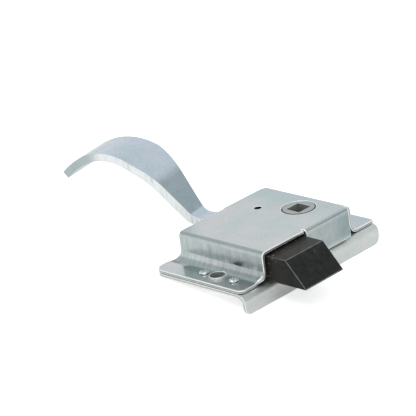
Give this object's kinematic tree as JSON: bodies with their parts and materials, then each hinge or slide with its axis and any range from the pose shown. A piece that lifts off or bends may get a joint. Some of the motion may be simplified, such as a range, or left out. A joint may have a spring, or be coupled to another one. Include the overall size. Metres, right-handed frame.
{
  "type": "slam latch",
  "caption": "Surface-mounted slam latch: a sprung wedge bolt in a pressed steel case, drawn back by a bent pull handle or by a square spindle in its hub.",
  "frame": {"origin": "middle of the base plate's flat underside, the face that lies against the door", "axes": "+Z out of the cover, -Y the way the bolt points, +Y the way the handle is pulled, +X along the flanges"},
  "size_m": [0.0894, 0.148, 0.0522],
  "materials": {
    "zinc_plate": "bright zinc plate, slightly blue",
    "zinc_bright": "bright zinc plate",
    "plain_steel": "plain steel",
    "black_nylon": "moulded, slightly shiny"
  },
  "bodies": {
    "case": {"cover": "zinc_plate", "base_plate": "zinc_plate", "cover_rivet_left_front": "zinc_bright", "cover_rivet_left_rear": "zinc_bright", "cover_rivet_right_front": "zinc_bright", "cover_rivet_right_rear": "zinc_bright", "spring_guide_left": "plain_steel", "spring_guide_right": "plain_steel", "bolt_spring_left": "plain_steel", "bolt_spring_right": "plain_steel", "hub_washer": "plain_steel"},
    "bolt": {"latch_bolt": "black_nylon", "pull_handle": "zinc_bright", "handle_rivet_front": "plain_steel", "handle_rivet_rear": "plain_steel"},
    "hub": {"spindle_hub": "zinc_plate", "hub_arm": "zinc_plate", "arm_pin": "plain_steel"}
  },
  "joints": [
    {"name": "bolt_slide", "type": "slide", "parent": "case", "child": "bolt", "axis": [0, 1, 0], "range_m": [0, 0.0175], "stiffness_N_per_m": 600, "springref_m": -0.025, "deforming": ["bolt_spring_left", "bolt_spring_right"]},
    {"name": "hub_turn", "type": "hinge", "parent": "case", "child": "hub", "pos_m": [0.0157, -0.0052, 0], "axis": [0, 0, -1], "range_deg": [0, 80.8]}
  ],
  "couplings": [
    {"joint": "hub_turn", "follows": "bolt_slide", "rad_per_m": 80.5}
  ]
}
